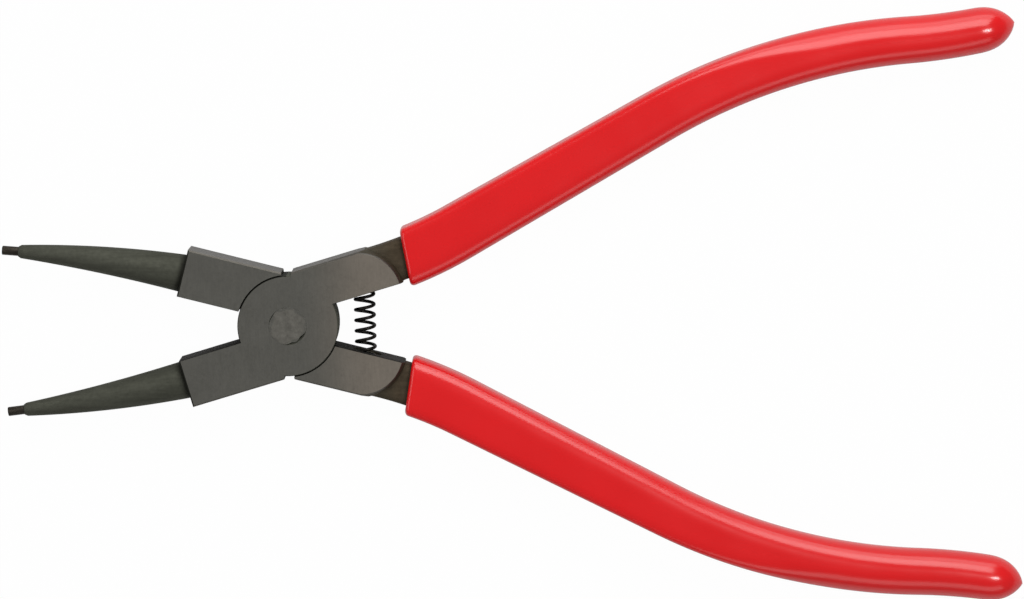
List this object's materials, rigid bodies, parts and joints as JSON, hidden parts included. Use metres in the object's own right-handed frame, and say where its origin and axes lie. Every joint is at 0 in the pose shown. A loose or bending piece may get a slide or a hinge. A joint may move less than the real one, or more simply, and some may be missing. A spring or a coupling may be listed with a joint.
{
  "type": "circlip pliers",
  "caption": "Internal circlip pliers with straight pinned tips, a riveted lap joint, an opening spring between the shanks and dipped handles.",
  "frame": {"origin": "pivot axis on the plane the tool lies on, at the centre of the rear joint face", "axes": "+X along the mid-line towards the handles, +Z along the pivot axis away from the resting plane"},
  "size_m": [0.2113, 0.1244, 0.0105],
  "materials": {
    "lever_steel": "forged chrome-vanadium steel, black oxide, ground flats at the joint",
    "rivet_steel": "peened and ground flush",
    "tip_steel": "hardened, dark tempered",
    "spring_wire": "black spring wire",
    "dipped_vinyl": "glossy red dipped vinyl"
  },
  "bodies": {
    "rear": {"rear_lever": "lever_steel", "rear_tip": "tip_steel", "lower_grip": "dipped_vinyl", "pivot_rivet": "rivet_steel", "return_spring": "spring_wire"},
    "front": {"front_lever": "lever_steel", "front_tip": "tip_steel", "upper_grip": "dipped_vinyl"}
  },
  "joints": [
    {"name": "jaw_pivot", "type": "hinge", "parent": "rear", "child": "front", "pos_m": [0, 0, 0.00525], "axis": [0, 0, 1], "range_deg": [-29.5, 10], "stiffness_Nm_per_rad": 1.1, "deforming": ["return_spring"]}
  ]
}
